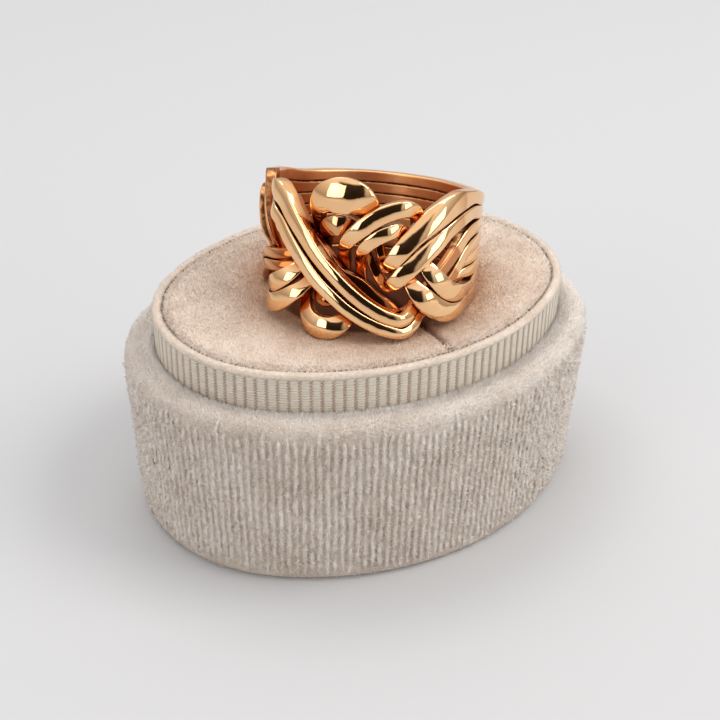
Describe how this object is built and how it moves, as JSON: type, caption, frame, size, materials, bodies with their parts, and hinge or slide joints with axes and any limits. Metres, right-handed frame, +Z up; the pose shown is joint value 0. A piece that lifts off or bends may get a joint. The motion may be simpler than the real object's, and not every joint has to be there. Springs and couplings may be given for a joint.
{
  "type": "puzzle ring on oval velvet ring box",
  "caption": "Puzzle ring of thin interlocked bands woven into a knot, lying on the velvet pad of an oval ring box.",
  "frame": {"origin": "centre of the oval base's underside", "axes": "+X along the oval's length, +Y along its width, +Z up; the knot faces -X and -Y"},
  "size_m": [0.055, 0.0438, 0.0414],
  "materials": {
    "rose_gold": "polished rose gold",
    "base_velvet": "ribbed beige velvet",
    "pad_velvet": "beige velvet",
    "ribbon": "ribbed grey-beige ribbon"
  },
  "bodies": {
    "root": {"box_base": "base_velvet", "box_collar": "ribbon", "pad": "pad_velvet", "band_1": "rose_gold", "band_2": "rose_gold", "band_3": "rose_gold", "band_4": "rose_gold", "band_5": "rose_gold", "band_6": "rose_gold", "band_7": "rose_gold", "band_8": "rose_gold"}
  },
  "joints": []
}
